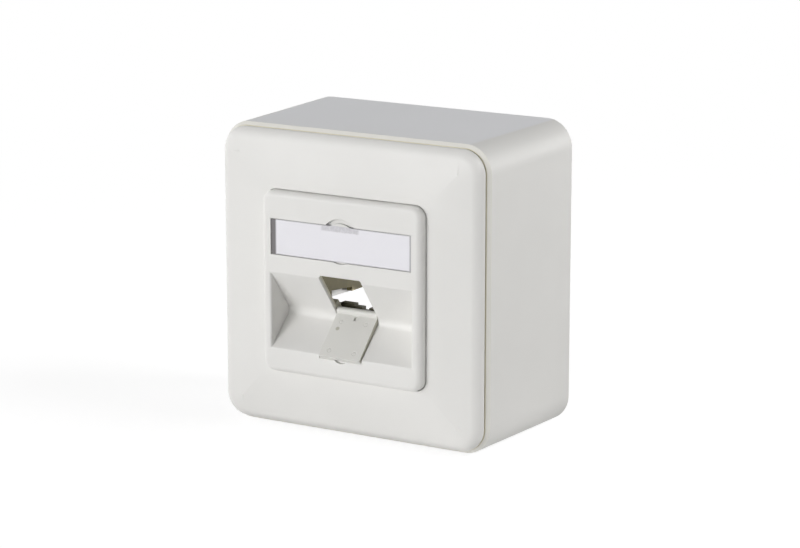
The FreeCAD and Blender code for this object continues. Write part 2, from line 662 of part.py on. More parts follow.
def cover_frame():
    body = frame_outside()
    corner = CORNER_RADIUS + RIM_STEP - HOUSING_WALL - FIT
    mouth = half_at(HOUSING_DEPTH) - HOUSING_WALL - FIT
    tongue = slab(mouth, mouth, corner, HOUSING_DEPTH - TONGUE_LENGTH, FRAME_BACK + EPS)
    hollow = mouth - TONGUE_WALL
    core = FRAME_WIDTH / 2 - CORNER_RADIUS
    body = body.fuse(tongue).cut([
        slab(hollow, hollow, corner - TONGUE_WALL, 0, face_depth(hollow) - FRAME_WALL),
        block(-core, core, 0, face_depth(core) - FRAME_WALL, -core, core)])
    seat_half = PLATE_WIDTH / 2 + FIT
    aperture = seat_half - SEAT_WIDTH
    outside = seat_half + COLLAR_WALL
    collar = slab(outside, outside, PLATE_CORNER_RADIUS + COLLAR_WALL, HOUSING_DEPTH,
                  FRAME_FRONT - FRAME_WALL + EPS)
    body = body.fuse(collar).removeSplitter()
    cuts = [slab(aperture, aperture, PLATE_CORNER_RADIUS - SEAT_WIDTH, 0, PLATE_FRONT),
            slab(seat_half, seat_half, PLATE_CORNER_RADIUS, SEAT, PLATE_FRONT)]
    for side in (-1, 1):
        cuts.append(post(side * DEVICE_SPACING / 2, 0, DEVICE_HEAD_RADIUS + SCREW_CLEARANCE, 0,
                         HOUSING_DEPTH + DEVICE_HEAD_HEIGHT + SCREW_CLEARANCE))
    return body.cut(cuts)


# ---------------------------------------------------------------- centre plate
def recess_void(half, valley_radius):
    """Space in front of the two slopes, open to the front."""
    valley = PLATE_FRONT - VALLEY_DEPTH
    ahead = PLATE_FRONT + PLATE_PROUD
    shape = profile([(ahead, RECESS_TOP), (PLATE_FRONT, RECESS_TOP), (valley, VALLEY_HEIGHT),
                     (PLATE_FRONT, RECESS_BOTTOM), (ahead, RECESS_BOTTOM)], -half, half)
    if valley_radius > 0:
        shape = fillet_where(shape, valley_radius, lambda e, m: abs(m.y + valley) < EPS)
    return shape


def recess_back():
    """Outside of the recess box: the slopes moved back by the wall, closed at the ends."""
    upper = math.atan2(VALLEY_DEPTH, RECESS_TOP - VALLEY_HEIGHT)
    lower = math.atan2(VALLEY_DEPTH, VALLEY_HEIGHT - RECESS_BOTTOM)
    top = RECESS_TOP + SLOPE_WALL / math.sin(upper)
    bottom = RECESS_BOTTOM - SLOPE_WALL / math.sin(lower)
    slope_up = math.tan(upper)
    slope_down = math.tan(lower)
    z = (slope_down * bottom + slope_up * top) / (slope_up + slope_down)
    depth = PLATE_FRONT - slope_up * (top - z)
    return profile([(PLATE_FRONT - EPS, top), (depth, z), (PLATE_FRONT - EPS, bottom)],
                   -recess_half(), recess_half())


def centre_plate():
    half = PLATE_WIDTH / 2
    body = slab(half, half, PLATE_CORNER_RADIUS, SEAT, PLATE_FRONT)
    body = fillet_where(body, PLATE_EDGE_RADIUS, lambda e, m: abs(m.y + PLATE_FRONT) < EPS)
    body = body.cut(slab(half - PLATE_WALL, half - PLATE_WALL, PLATE_CORNER_RADIUS - PLATE_WALL,
                         0, PLATE_FRONT - PLATE_WALL))
    label_half = LABEL_WIDTH / 2
    tray_z = LABEL_HEIGHT / 2 + POCKET_FLOOR
    add = [recess_back(),
           block(-label_half - RECESS_WALL, label_half + RECESS_WALL, POCKET - POCKET_FLOOR,
                 PLATE_FRONT - PLATE_WALL + EPS, LABEL_CENTRE - tray_z, LABEL_CENTRE + tray_z)]
    for side in (-1, 1):
        x = side * PLATE_SCREW_SPACING / 2
        add.append(square_post(x, LABEL_CENTRE, PLATE_BOSS_HALF, HOUSING_DEPTH, POCKET - EPS))
        add.append(guide_arm(side))
        add.append(on_slope(hinge_ear(side)))
    body = body.fuse(add).removeSplitter()
    body = body.cut(recess_void(RECESS_WIDTH / 2, VALLEY_RADIUS))
    body = soften_recess(body)
    cuts = [recess_void(PORT_WIDTH / 2, 0), port_cut(), pin_hole(), label_pocket(), flap_bed(),
            post(0, LABEL_CENTRE + LABEL_HEIGHT / 2 + NOTCH_RISE - NOTCH_RADIUS, NOTCH_RADIUS,
                 PLATE_FRONT - NOTCH_DEPTH, BIG),
            post(0, RECESS_BOTTOM - LIP_NOTCH_DROP + LIP_NOTCH_RADIUS, LIP_NOTCH_RADIUS,
                 PLATE_FRONT - NOTCH_DEPTH, BIG)]
    for side in (-1, 1):
        x = side * PLATE_SCREW_SPACING / 2
        cuts.append(post(x, LABEL_CENTRE, PLATE_SCREW_RADIUS + SCREW_CLEARANCE, 0, PLATE_FRONT))
        cuts.append(post(x, LABEL_CENTRE, PLATE_HEAD_RADIUS + FIT, plate_screw_seat(), POCKET + EPS))
    return body.cut(cuts)


def flap_bed():
    """Shallow bed across the lip that the open flap lies in."""
    length = FLAP_LENGTH + PLATE_PROUD
    return opened(Part.makeBox(PORT_WIDTH, length, 2 * HINGE_RADIUS + FLAP_REST_GAP,
                               FreeCAD.Vector(-PORT_WIDTH / 2, -length,
                                              -HINGE_RADIUS - FLAP_REST_GAP)))


def soften_recess(body):
    """Round the mouth of the recess, where it meets the plate's face."""
    side = RECESS_WIDTH / 2

    def mouth(edge, mid):
        at_face = abs(mid.y + PLATE_FRONT) < EPS
        inside = abs(mid.x) < side + EPS and RECESS_BOTTOM - EPS < mid.z < RECESS_TOP + EPS
        return at_face and inside
    return fillet_where(body, LIP_RADIUS, mouth)


def label_pocket():
    half = LABEL_WIDTH / 2
    return block(-half, half, POCKET, BIG, LABEL_CENTRE - LABEL_HEIGHT / 2,
                 LABEL_CENTRE + LABEL_HEIGHT / 2)


def port_cut():
    """Port through the upper slope, with rounded upper corners, open to the valley."""
    half = PORT_WIDTH / 2
    low = HINGE_A + HINGE_RADIUS + FLAP_GAP
    tool = Part.makeBox(PORT_WIDTH, low + PORT_RISE, SLOPE_WALL + PLATE_FRONT - SUPPORT_BACK,
                        FreeCAD.Vector(-half, -PORT_RISE, -SLOPE_WALL))
    tool = fillet_where(tool, PORT_CORNER_RADIUS,
                        lambda e, m: abs(m.y + PORT_RISE) < EPS and abs(abs(m.x) - half) < EPS)
    return on_slope(tool)


def hinge_ear(side):
    """Block behind the slope beside the port that holds one end of the pin."""
    inner = PORT_WIDTH / 2
    x = inner if side > 0 else -inner - HINGE_EAR
    start = SLOPE_WALL / 2
    return Part.makeBox(HINGE_EAR, 2 * EAR_HALF, HINGE_B + PIN_RADIUS + EAR_WALL - start,
                        FreeCAD.Vector(x, HINGE_A - EAR_HALF, start))


def pin_length():
    return PORT_WIDTH + 2 * (HINGE_EAR - PIN_INSET)


def pin_hole():
    length = pin_length() + 2 * PIN_END_GAP
    return on_slope(Part.makeCylinder(PIN_RADIUS + PIN_CLEARANCE / 2, length,
                                      FreeCAD.Vector(-length / 2, HINGE_A, HINGE_B),
                                      FreeCAD.Vector(1, 0, 0)))


def guide_arm(side):
    """Arm that guides the plate over the outside of a holder cheek."""
    inner = BAY_WIDTH / 2 + CHEEK_THICKNESS + ARM_GAP
    low, high = sorted((side * inner, side * (inner + ARM_THICKNESS)))
    tip = FRAME_FRONT - ARM_REACH
    root = PLATE_FRONT - PLATE_WALL
    return profile([(root, ARM_TOP), (tip + ARM_LEAD, ARM_TOP), (tip, ARM_TOP - ARM_LEAD),
                    (tip, ARM_BOTTOM - ARM_TAPER), (root, ARM_BOTTOM)], low, high)


# ---------------------------------------------------------------- label
def label_card():
    half = LABEL_WIDTH / 2 - FIT
    tall = LABEL_HEIGHT / 2 - FIT
    return block(-half, half, POCKET, POCKET + CARD_THICKNESS, LABEL_CENTRE - tall,
                 LABEL_CENTRE + tall)


def label_cover():
    """Clear tray turned face forward: window, rim down to the card, finger tab on top."""
    half = LABEL_WIDTH / 2 - FIT
    tall = LABEL_HEIGHT / 2 - FIT
    front = PLATE_FRONT - COVER_RECESS
    back = POCKET + CARD_THICKNESS
    body = block(-half, half, back, front, LABEL_CENTRE - tall, LABEL_CENTRE + tall)
    body = body.cut(block(-half + COVER_RIM, half - COVER_RIM, 0, front - COVER_WALL,
                          LABEL_CENTRE - tall + COVER_RIM, LABEL_CENTRE + tall - COVER_RIM))
    tab = post(0, LABEL_CENTRE + tall + COVER_TAB_RISE - NOTCH_RADIUS, NOTCH_RADIUS,
               PLATE_FRONT - NOTCH_DEPTH + COVER_TAB_GAP, front)
    tab = tab.common(block(-half, half, 0, PLATE_FRONT, LABEL_CENTRE + COVER_RIM, BIG))
    return body.fuse(tab).removeSplitter()


# ---------------------------------------------------------------- dust flap
def flap_flat():
    """Flap with its hinge axis on the X axis, lying forward, inner face up."""
    top = FLAP_THICKNESS - HINGE_RADIUS
    half = FLAP_WIDTH / 2
    plate = Part.makeBox(FLAP_WIDTH, FLAP_LENGTH, FLAP_THICKNESS,
                         FreeCAD.Vector(-half, -FLAP_LENGTH, -HINGE_RADIUS))
    plate = fillet_where(plate, FLAP_CORNER_RADIUS, lambda e, m: abs(m.y + FLAP_LENGTH) < EPS
                         and abs(abs(m.x) - half) < EPS)
    barrel = Part.makeCylinder(HINGE_RADIUS, FLAP_WIDTH, FreeCAD.Vector(-half, 0, 0),
                               FreeCAD.Vector(1, 0, 0))
    flap = plate.fuse(barrel).removeSplitter()
    cuts = [Part.makeCylinder(PIN_RADIUS + PIN_CLEARANCE, FLAP_WIDTH, FreeCAD.Vector(-half, 0, 0),
                              FreeCAD.Vector(1, 0, 0)),
            Part.makeBox(FLAP_SLOT_WIDTH, FLAP_SLOT_LENGTH, HINGE_RADIUS,
                         FreeCAD.Vector(-FLAP_SLOT_WIDTH / 2, -FLAP_SLOT_FROM - FLAP_SLOT_LENGTH,
                                        top - FLAP_SLOT_DEPTH))]
    return flap.cut(cuts)


def dust_flap():
    return opened(flap_flat())


def flap_pin():
    depth, z = hinge_axis()
    length = pin_length()
    return Part.makeCylinder(PIN_RADIUS, length, point(-length / 2, depth, z),
                             FreeCAD.Vector(1, 0, 0))


PIECES = (housing, boss_inserts, support_frame, support_frame_screws, module_holder,
          module_holder_screws, cover_frame, centre_plate, centre_plate_screws, label_card,
          label_cover, dust_flap, flap_pin, earth_screw, earth_clamp, earth_tab, cable_clamp,
          cable_clamp_screws)


def main():
    os.makedirs("parts", exist_ok=True)
    for piece in PIECES:
        shape = piece()
        shape.exportStep("parts/%s.step" % piece.__name__)
    depth, z = hinge_axis()
    print("hinge axis y %.3f z %.3f, open tilt %.2f, closes by %.2f degrees"
          % (-depth, z, open_tilt(), open_tilt() + SLOPE_TILT))


main()
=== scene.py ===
"""Looks of a surface mount outlet box: finishes for its moulded, metal and clear pieces,
screws with crossed drives and threads, and the stage that it stands on."""

import math

import bpy
import numpy as np
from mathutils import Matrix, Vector


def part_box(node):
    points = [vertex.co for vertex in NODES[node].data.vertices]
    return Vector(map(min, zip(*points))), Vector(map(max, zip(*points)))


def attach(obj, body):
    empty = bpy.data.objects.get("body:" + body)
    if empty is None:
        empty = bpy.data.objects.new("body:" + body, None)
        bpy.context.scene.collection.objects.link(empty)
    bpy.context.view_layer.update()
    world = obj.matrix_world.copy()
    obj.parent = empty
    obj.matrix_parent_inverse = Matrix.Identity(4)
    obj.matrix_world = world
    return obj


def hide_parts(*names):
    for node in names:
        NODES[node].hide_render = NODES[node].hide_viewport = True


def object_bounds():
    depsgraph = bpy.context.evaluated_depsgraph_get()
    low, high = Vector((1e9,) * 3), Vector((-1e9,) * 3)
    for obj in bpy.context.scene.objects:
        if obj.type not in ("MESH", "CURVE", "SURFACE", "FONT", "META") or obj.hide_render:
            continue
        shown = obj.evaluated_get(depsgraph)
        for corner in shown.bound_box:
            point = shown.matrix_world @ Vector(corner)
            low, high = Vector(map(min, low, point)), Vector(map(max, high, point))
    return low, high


bl_info = {
    "name": "Outlet Box Looks",
    "version": (1, 0, 0),
    "blender": (4, 5, 0),
    "location": "3D View > Sidebar > Outlet Box",
    "description": "Finishes, screws and stage for a surface mount outlet box",
    "category": "Object",
}

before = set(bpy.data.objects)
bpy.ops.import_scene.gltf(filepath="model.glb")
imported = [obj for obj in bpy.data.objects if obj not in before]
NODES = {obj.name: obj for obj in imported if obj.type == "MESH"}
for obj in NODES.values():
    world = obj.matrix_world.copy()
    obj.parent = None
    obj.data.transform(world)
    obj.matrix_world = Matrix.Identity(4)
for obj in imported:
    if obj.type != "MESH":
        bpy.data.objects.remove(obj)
CAD_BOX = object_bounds()
MM = 0.001

# Places and widths that the finishes mark, in millimetres. A pair of widths is where a
# mask is fully off and where it is fully on.
BOX_DRAFT = math.radians(0.7)
# Edge of the painted light on the box's top
TOP_SKIN = (0.35, 0.10)
# Depths of the painted light on the box's front rim and of the painted shade in its seam,
# and the edge of both
RIM_CHAMFER = 1.0
SEAM_DEPTH = 0.1
RIM_SKIN = (0.10, -0.05)
EJECTOR_MARKS = ((-3.9, -3.3), (3.7, -3.2), (-3.9, -12.2), (3.8, -12.2))
MARK_LINE = (0.22, 0.05)
MARK_SOFTNESS = 0.05
FLAP_PIT = (-4.2, -5.6)
PIT_RADIUS = (0.70, 0.40)
# Width of the painted shade along the flap's right edge
FLAP_RIGHT_EDGE = (0.25, 0.05)
PORT_DEPTH = (-0.90, 0.10)
PORT_LENGTH = (-14.3, -13.9)
PORT_SIDE = 0.5
WINDOW_FACE = (0.25, 0.10)
# Widths of the window's painted shade: at its left end, in the lines round it and in the
# strip under its tab
WINDOW_END = (1.75, 1.15)
WINDOW_LINE = (0.40, 0.24)
WINDOW_RIGHT_LINE = (0.50, 0.34)
TAB_STRIP_HALF = (6.2, 5.3)
TAB_STRIP_HEIGHT = (1.75, 1.35)
TAB_START = (0.12, 0.22)
# Where the holder's painted shade on its front bar gives way to its cheeks, and where the
# painted light on their rims starts
HOLDER_CHEEK = (9.0, 11.0)
HOLDER_LIT_RIM = (12.2, 12.5)
FLOOR_FADE = (60.0, 420.0)

# Heights of surface relief, in metres.
GRAIN_HEIGHT = 0.000012
RING_DEPTH = 6.0  # of the rings on the flap, in heights of the grain
FIBRE_HEIGHT = 0.00002
PEBBLE_HEIGHT = 0.00002
ROLLED_HEIGHT = 0.000006
WINDOW_WAVE_HEIGHT = 0.00001

PLASTIC_IOR = 1.49

# Shares of the painted shade colour in the window's lines and in the strip under its tab,
# how much painted glints lighten that strip, and how opaque its sides are and how much
# more its face is.
LINE_SHARE = 0.235
RIGHT_LINE_SHARE = 0.395
STRIP_SHARE = 0.36
GLINT_SHARE = 0.12
SIDE_ALPHA = 0.25
FACE_ALPHA = 0.70

SHARP_FROM = math.radians(38)  # a screw's edges look sharp from this angle on

# How much lighter or darker than its colour the holder is painted on its front bar, its
# cheeks
# and their rims: first where it is clean, then where it is stained. The front bar's colour
# is painted shade, and the rims' gain is painted light.
CAST_LIGHT_GAINS = ((1.0, 1.0, 2.2), (0.72, 0.80, 1.9))

# Soft lights: name, place and size in metres. Their powers are the stage's properties.
SOFT_LIGHTS = (
    ("key", (-0.75, -1.35, 0.65), (0.9, 0.9)),
    ("fill", (-0.40, -1.47, 0.18), (0.9, 0.4)),
    ("side", (1.30, 0.28, 1.00), (0.8, 0.8)),
    ("left", (-1.45, -0.30, 0.40), (0.8, 0.8)),
    ("back", (0.55, 1.30, 0.15), (0.7, 0.6)),
)
LIT_POINT = (0.0, -0.03, 0.0)
INNER_LAMP = (0.024, 0.012, -0.016)
INNER_TARGET = (-0.0139, -0.0281, -0.0096)
INNER_CONE = math.radians(9.1)
FLOOR_REACH = 8.0
FLOOR_GAP = 0.0001
SENSOR_WIDTH = 36.0


# ---------------------------------------------------------------- properties
def colour(label, text, value):
    return bpy.props.FloatVectorProperty(name=label, description=text, default=value,
                                         size=3, min=0.0, max=1.0, subtype="COLOR")


def length(label, text, value):
    return bpy.props.FloatProperty(name=label, description=text, default=value,
                                   unit="LENGTH", subtype="DISTANCE", precision=5)


def angle(label, text, degrees):
    return bpy.props.FloatProperty(name=label, description=text,
                                   default=math.radians(degrees), subtype="ANGLE",
                                   unit="ROTATION")


def number(label, text, value):
    return bpy.props.FloatProperty(name=label, description=text, default=value)


class OutletBoxColours(bpy.types.PropertyGroup):
    """Colours that the finishes start from, in linear light."""
    box: colour("Box", "Moulded box behind the cover frame", (0.745, 0.737, 0.712))
    cover: colour("Cover", "Cover frame and centre plate", (0.838, 0.830, 0.806))
    flap: colour("Flap", "Dust flap", (0.790, 0.782, 0.745))
    card: colour("Card", "Paper label card", (0.930, 0.920, 0.975))
    clear: colour("Window", "Card as it shows through its clear cover",
                  (0.945, 0.935, 0.980))
    # Painted shade of the pocket's walls, which lie in shade round the card behind the
    # clear cover
    window_shade: colour("Window Edge", "Dark cut edges of the clear cover",
                        (0.204, 0.192, 0.198))
    # Painted shade on the flap's right edge, where its side face lies in shade, and the
    # colour of one small dark pit on its face
    dark_tone: colour("Stain", "Flap plastic at its right edge and in the pit on its face",
                  (0.520, 0.508, 0.430))
    # Painted light: the box's top is painted lighter and cooler than its sides, for the
    # cool light that falls on it from above
    top: colour("Top", "Top of the box, which is cooler than its sides",
                (0.785, 0.790, 0.808))
    # Painted light: the box's front rim round the cover frame is painted lighter than the
    # rest of the box
    rim: colour("Rim", "Rubbed rim of the box round the cover frame",
                (0.865, 0.850, 0.795))
    # Painted shade: the seam round the cover frame is painted darker and warmer than the
    # box
    seam: colour("Seam", "Box plastic in the seam round the cover frame",
                 (0.800, 0.755, 0.590))
    shade: colour("Shade", "Cover plastic in the depth of the port",
                  (0.640, 0.610, 0.490))
    zinc: colour("Zinc", "Zinc plated support frame and earth parts",
                 (0.580, 0.585, 0.590))
    cast: colour("Casting", "Cheeks of the die cast module holder",
                 (0.200, 0.174, 0.092))
    # Painted shade: the holder's front bar faces away from the light that comes in through
    # the back of the box
    cast_front_shade: colour("Casting Front", "Dull front bar of the module holder",
                       (0.105, 0.096, 0.062))
    brass: colour("Brass", "Threaded inserts", (0.720, 0.540, 0.270))
    clamp: colour("Clamp", "Cable clamp", (0.560, 0.560, 0.545))


class OutletBoxSizes(bpy.types.PropertyGroup):
    """Sizes of the detail that this file adds."""
    edge: length("Edge Softness", "Radius that moulded edges seem to have", 0.00022)
    grain: length("Grain", "Size of the fine spark texture on moulded faces", 0.00035)
    thread_pitch: length("Thread Pitch", "Rise of the screw threads per turn", 0.0008)
    thread_depth: length("Thread Depth", "Depth of the screw threads", 0.00028)
    drive_depth: length("Drive Depth", "Depth of the crossed drive", 0.0010)
    flap_tilt: angle("Flap Tilt", "Slope of the open dust flap", 46.88)
    flap_swing: angle("Flap Swing", "Turn that closes the flap", 99.41)
    mark_radius: length("Ejector Mark", "Radius of the ejector marks on the flap",
                        0.00055)


class OutletBoxStage(bpy.types.PropertyGroup):
    """Camera and light."""
    azimuth: angle("Azimuth", "Camera angle round the box", 31.28)
    elevation: angle("Elevation", "Camera angle above the box", 12.79)
    distance: length("Distance", "Camera to the point it looks at", 0.742)
    lens: number("Lens", "Focal length in millimetres on a sensor 36 wide", 128.63)
    target: bpy.props.FloatVectorProperty(
        name="Target", description="Point the camera looks at",
        default=(0.01679, -0.0474, 0.00602), size=3, subtype="TRANSLATION",
        unit="LENGTH")
    sky: number("Sky", "Strength of the even light", 0.02)
    key: number("Key", "Power of the large soft light at the front left", 5.2)
    fill: number("Fill", "Power of the low soft light in front", 10.4)
    side: number("Side", "Power of the soft light high at the right, behind the face",
                 15.6)
    left: number("Left", "Power of the soft light at the left", 5.2)
    back: number("Back", "Power of the light behind the box, which shines in through "
                 "its back", 7.0)
    inner: number("Inner", "Power of the small lamp behind the box's back opening, "
                  "which lights a guide arm of the plate", 0.057)
    ground: number("Ground", "How much of its light the floor gives back", 0.80)


# ---------------------------------------------------------------- shader expressions
class Val:
    """A socket in a sum: + - * ** and the methods below add their Math nodes."""

    def __init__(self, finish, socket):
        self.finish = finish
        self.socket = socket

    def _math(self, operation, *others):
        return self.finish.node("ShaderNodeMath", {"operation": operation},
                                dict(enumerate((self,) + others)))

    def __add__(self, other):
        return self._math("ADD", other)

    def __sub__(self, other):
        return self._math("SUBTRACT", other)

    def __mul__(self, other):
        return self._math("MULTIPLY", other)

    def __pow__(self, other):
        return self._math("POWER", other)

    def __rsub__(self, other):
        return self * -1.0 + other

    __radd__ = __add__
    __rmul__ = __mul__

    def abs(self):
        return self._math("ABSOLUTE")

    def min(self, other):
        return self._math("MINIMUM", other)

    def max(self, other):
        return self._math("MAXIMUM", other)

    def step(self, off, on):
        """0 at one value and before it, 1 at the other and past it, smooth between."""
        return self.finish.node("ShaderNodeMapRange",
                                {"interpolation_type": "SMOOTHSTEP"},
                                {0: self, 1: off, 2: on, 3: 0.0, 4: 1.0})


class Finish:
    """The nodes of one material, or of the world."""

    def __init__(self, owner):
        owner.use_nodes = True
        self.owner = owner
        self.tree = owner.node_tree
        self.tree.nodes.clear()

    def node(self, kind, settings=None, inputs=None, out=0):
        """Adds a node: its settings first, then the values or links of its sockets."""
        made = self.tree.nodes.new(kind)
        for key, value in (settings or {}).items():
            setattr(made, key, value)
        for key, value in (inputs or {}).items():
            if isinstance(value, Val):
                self.tree.links.new(value.socket, made.inputs[key])
            else:
                made.inputs[key].default_value = value
        return Val(self, made.outputs[out]) if made.outputs else None

    def place(self, centre=(0.0, 0.0, 0.0), turn=(0.0, 0.0, 0.0)):
        """Object coordinates in millimetres, measured from a centre and turned."""
        here = self.node("ShaderNodeTexCoord", out="Object")
        return self.node("ShaderNodeMapping", {"vector_type": "TEXTURE"},
                         {"Vector": here, "Location": centre, "Rotation": turn,
                          "Scale": (MM, MM, MM)})

    def axes(self, vector):
        return [self.node("ShaderNodeSeparateXYZ", None, {0: vector}, out=i)
                for i in range(3)]

    def noise(self, vector, scale, detail=2.0, rough=0.5):
        return self.node("ShaderNodeTexNoise", None,
                         {"Vector": vector, "Scale": scale, "Detail": detail,
                          "Roughness": rough})

    def stretch(self, vector, factors):
        return self.node("ShaderNodeVectorMath", {"operation": "MULTIPLY"},
                         {0: vector, 1: factors})

    def mix(self, factor, first, second):
        return self.node("ShaderNodeMix", {"data_type": "RGBA"},
                         {0: factor, 6: first, 7: second}, out=2)

    def soft_edge(self, radius):
        return self.node("ShaderNodeBevel", {"samples": 4}, {"Radius": radius})

    def bump(self, height, distance, strength=1.0, normal=None):
        inputs = {"Height": height, "Distance": distance, "Strength": strength}
        if normal is not None:
            inputs["Normal"] = normal
        return self.node("ShaderNodeBump", None, inputs)

    def surface(self, **sockets):
        """Ends the material in one Principled shader; names use _ for spaces."""
        inputs = {key.replace("_", " "): value for key, value in sockets.items()}
        shader = self.node("ShaderNodeBsdfPrincipled", None, inputs)
        self.node("ShaderNodeOutputMaterial", None, {"Surface": shader})
        return self.owner


def new_finish(name):
    return Finish(bpy.data.materials.new(name))


def rgba(value, gain=1.0):
    return tuple(min(1.0, part * gain) for part in value) + (1.0,)


def grey(value):
    return (value, value, value, 1.0)


# ---------------------------------------------------------------- masks
def middle(box):
    low, high = box
    return tuple((a + b) / 2 for a, b in zip(low, high))


def half(box, axis):
    """Half the length of a box along an axis, in millimetres."""
    low, high = box
    return (high[axis] - low[axis]) / 2 / MM


def from_point(x, y, point):
    """Distance of (x, y) from a point of the same plane."""
    return ((x - point[0]) ** 2.0 + (y - point[1]) ** 2.0) ** 0.5


def from_hinge(f, tilt):
    """Coordinates measured from the flap's hinge in a plane tilted about it."""
    return f.axes(f.place(middle(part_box("flap_pin")), (tilt, 0.0, 0.0)))


def ejector_marks(sizes):
    """Masks of the rings and discs that the flap's ejector pins left."""
    radius = sizes.mark_radius / MM

    def masks(f):
        x, y, _ = from_hinge(f, sizes.flap_tilt)
        ring = disc = None
        for point in EJECTOR_MARKS:
            near = from_point(x, y, point)
            edge = (near - radius).abs().step(*MARK_LINE)
            inside = near.step(radius + MARK_SOFTNESS, radius - MARK_SOFTNESS)
            ring = edge if ring is None else ring.max(edge)
            disc = inside if disc is None else disc.max(inside)
        return ring, disc
    return masks


def flap_edge_shade(sizes):
    """Mask of the painted shade on the flap's right edge, where its side face lies in
    shade, and of one small dark pit on its face.
    """
    side = half(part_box("dust_flap"), 0)
    off, on = FLAP_RIGHT_EDGE

    def mask(f):
        x, y, _ = from_hinge(f, sizes.flap_tilt)
        pit = from_point(x, y, FLAP_PIT)
        return x.step(side - off, side - on).max(pit.step(*PIT_RADIUS))
    return mask


def top_face():
    """Mask of the flat top of the box, which falls by its draft from the wall; it places
    the painted light on the box's top.
    """
    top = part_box("housing")[1][2] / MM
    off, on = TOP_SKIN

    def mask(f):
        _, y, z = f.axes(f.place())
        return (z - y * math.tan(BOX_DRAFT)).step(top - off, top - on)
    return mask


def front_rim(node, deep):
    """Mask of the front of a node, down to a depth in millimetres; it places the painted
    light on the box's rim and the painted shade in its seam.
    """
    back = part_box(node)[0][1] / MM + deep
    off, on = RIM_SKIN

    def mask(f):
        return f.axes(f.place())[1].step(back + off, back + on)
    return mask


def port_depth(sizes):
    """Mask of the port's walls: close to its width, and behind the plane of the slope
    that it opens in, measured from the flap's hinge."""
    tilt = sizes.flap_tilt - sizes.flap_swing
    width = half(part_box("flap_pin"), 0)

    def mask(f):
        x, y, z = from_hinge(f, tilt)
        return (x.abs().step(width, width - PORT_SIDE) * z.step(*PORT_DEPTH)
                * y.step(*PORT_LENGTH))
    return mask


# ---------------------------------------------------------------- finishes
def moulded(name, tint, sizes, gloss, marks=None, parts=()):
    """Moulded plastic: fine spark texture, slow drift of tone, and soft edges.

    marks gives masks of rings and discs pressed into it, and parts are pairs of a mask
    and the colour that it brings.
    """
    f = new_finish(name)
    place = f.place()
    cell = sizes.grain / MM
    fine = f.noise(place, scale=1.0 / cell, detail=3.0, rough=0.6)
    slow = f.noise(place, scale=0.045)
    speck = f.noise(place, scale=1.9, detail=1.0).step(off=0.70, on=0.78)
    height = fine
    shade = slow.step(off=0.3, on=0.7) * 0.6 + speck * 0.12
    if marks is not None:
        ring, disc = marks(f)
        height = fine - ring * RING_DEPTH
        shade = (shade + disc * 0.9).min(1.0)
    base = f.mix(shade, rgba(tint), rgba(tint, gain=0.965))
    for mask, other in parts:
        base = f.mix(mask(f), base, rgba(other))
    # gloss is the roughness where both noises are about half way
    rough = slow * 0.05 + fine * 0.06 + (gloss - 0.05)
    normal = f.bump(height, GRAIN_HEIGHT, normal=f.soft_edge(sizes.edge))
    return f.surface(Base_Color=base, Roughness=rough, Normal=normal, IOR=PLASTIC_IOR)


def clear_plastic(name, tint, shade_tint, tab_tint):
    """Clear polished plastic over the card. Its face shows the card, with painted shade at
    its left end and in the thin lines round it, where the pocket's walls lie in shade, and
    in a strip under its tab, which cloudy spots of painted glint lighten. The tab has the
    colour of the plate around it."""
    f = new_finish(name)
    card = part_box("label_card")
    centre = middle(card)
    half_width, half_height = half(card, 0), half(card, 2)
    place = f.place(centre)
    x, y, z = f.axes(place)
    front = (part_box("label_cover")[0][1] - centre[1]) / MM
    face = y.step(front + WINDOW_FACE[0], front + WINDOW_FACE[1])
    wander = f.noise(place, scale=0.9) * 0.16
    from_left, from_right = x + half_width, half_width - x
    from_foot, from_top = z + half_height, half_height - z
    end = from_left.step(*WINDOW_END)
    foot_line = (from_foot + wander).step(*WINDOW_LINE)
    top_line = (from_top + wander).step(*WINDOW_LINE)
    right_line = from_right.step(*WINDOW_RIGHT_LINE)
    lines = (foot_line.max(top_line) * LINE_SHARE).max(right_line * RIGHT_LINE_SHARE)
    # Cloudy spots of painted glint that lighten the painted shade of the strip under the
    # tab
    cloud = f.noise(place, scale=1.6, detail=3.0, rough=0.7).step(off=0.38, on=0.66)
    strip = (x.abs().step(*TAB_STRIP_HALF)
             * (from_top + wander * 2.0).step(*TAB_STRIP_HEIGHT))
    dark = end.max(lines).max(strip * (cloud * -GLINT_SHARE + STRIP_SHARE))
    tab = z.abs().step(half_height + TAB_START[0], half_height + TAB_START[1])
    base = f.mix(tab, f.mix(dark, rgba(tint), rgba(shade_tint)), rgba(tab_tint))
    return f.surface(Base_Color=base, Roughness=0.24, IOR=PLASTIC_IOR,
                     Alpha=face * FACE_ALPHA + SIDE_ALPHA,
                     Normal=f.bump(wander, WINDOW_WAVE_HEIGHT, strength=0.2))


def paper(name, tint):
    """Card with short fibres that lie mostly across it."""
    f = new_finish(name)
    place = f.place()
    lengthened = f.stretch(place, (0.8, 3.0, 3.0))
    fibre = f.noise(lengthened, scale=2.0, detail=4.0, rough=0.7)
    cloud = f.noise(place, scale=0.5, detail=3.0)
    shade = fibre.step(off=0.35, on=0.75) * 0.5 + cloud * 0.3
    base = f.mix(shade, rgba(tint), rgba(tint, gain=0.95))
    return f.surface(Base_Color=base, Roughness=0.85,
                     Normal=f.bump(fibre, FIBRE_HEIGHT, strength=0.6))


